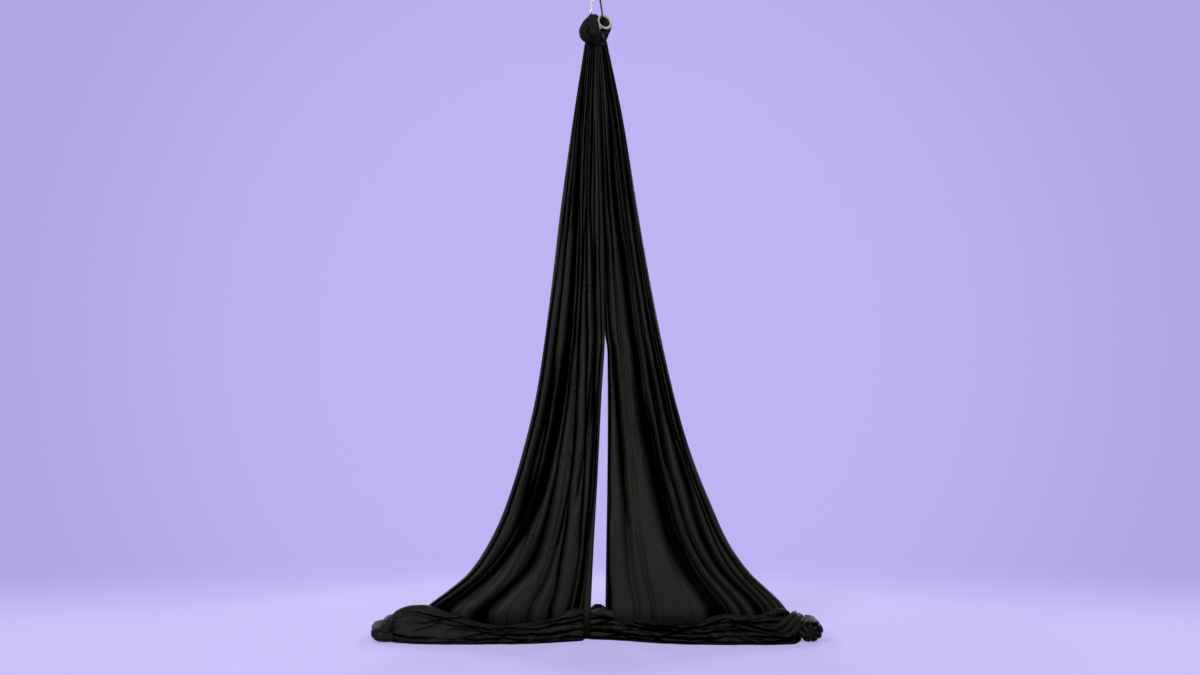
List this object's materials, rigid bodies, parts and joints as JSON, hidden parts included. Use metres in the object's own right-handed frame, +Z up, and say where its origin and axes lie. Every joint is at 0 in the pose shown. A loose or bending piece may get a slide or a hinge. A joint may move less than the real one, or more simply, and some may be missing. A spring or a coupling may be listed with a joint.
{
  "type": "aerial silks",
  "caption": "Black aerial silks: a long cloth hitched on a figure-eight ring under a screw-gate carabiner, its two tails flaring down to folded layers on the floor.",
  "frame": {"origin": "inside of the carabiner's narrow top bow, where the rig above bears on it", "axes": "+Z up along the hanging line, +X to the viewer's right along the spread of the two tails, +Y away from the viewer"},
  "size_m": [2.2576, 0.3756, 3.2288],
  "materials": {
    "dark_steel": "dark plated steel, worn",
    "bright_steel": "bright plated steel",
    "sleeve_steel": "turned steel, warm grey",
    "ring_alloy": "polished alloy",
    "black_cloth": "soft black knit with a low satin sheen"
  },
  "bodies": {
    "carabiner": {"carabiner_frame": "dark_steel", "gate_hinge_pin": "bright_steel"},
    "gate": {"carabiner_gate": "bright_steel", "gate_latch_pin": "bright_steel", "gate_plunger": "bright_steel", "gate_spring": "bright_steel"},
    "sleeve": {"locking_sleeve": "sleeve_steel"},
    "hitch": {"figure_eight": "ring_alloy", "hitch_lobes": "black_cloth", "hitch_neck": "black_cloth"},
    "left_cloth": {"left_tail": "black_cloth"},
    "left_layers": {"left_pool": "black_cloth", "left_end_fold": "black_cloth"},
    "right_cloth": {"right_tail": "black_cloth"},
    "right_layers": {"right_pool": "black_cloth", "right_end_fold": "black_cloth", "rear_heap": "black_cloth"}
  },
  "joints": [
    {"name": "gate_hinge", "type": "hinge", "parent": "carabiner", "child": "gate", "pos_m": [-0.02805, 0.01753, -0.09071], "axis": [0.5299, 0.848, 0], "range_deg": [0, 14], "stiffness_Nm_per_rad": 0.5, "springref_deg": -11.46},
    {"name": "sleeve_travel", "type": "slide", "parent": "gate", "child": "sleeve", "axis": [0.15, -0.0937, 0.9842], "range_m": [0, 0.015]},
    {"name": "hitch_swing", "type": "hinge", "parent": "carabiner", "child": "hitch", "pos_m": [0.02206, -0.01474, -0.12151], "axis": [1, 0, 0], "range_deg": [-8, 8]},
    {"name": "left_tail_swing", "type": "hinge", "parent": "hitch", "child": "left_cloth", "pos_m": [-0.05928, 0, -0.26228], "axis": [0, 1, 0], "range_deg": [0, 12]},
    {"name": "right_tail_swing", "type": "hinge", "parent": "hitch", "child": "right_cloth", "pos_m": [0.05712, 0, -0.26228], "axis": [0, -1, 0], "range_deg": [0, 12]},
    {"name": "left_layers_level", "type": "hinge", "parent": "left_cloth", "child": "left_layers", "pos_m": [-0.0318, 0, -3.15], "axis": [0, 1, 0], "range_deg": [-12, 0]},
    {"name": "right_layers_level", "type": "hinge", "parent": "right_cloth", "child": "right_layers", "pos_m": [0.0438, 0, -3.15], "axis": [0, -1, 0], "range_deg": [-12, 0]}
  ],
  "couplings": [
    {"joint": "left_layers_level", "follows": "left_tail_swing", "ratio": -1},
    {"joint": "right_layers_level", "follows": "right_tail_swing", "ratio": -1}
  ]
}
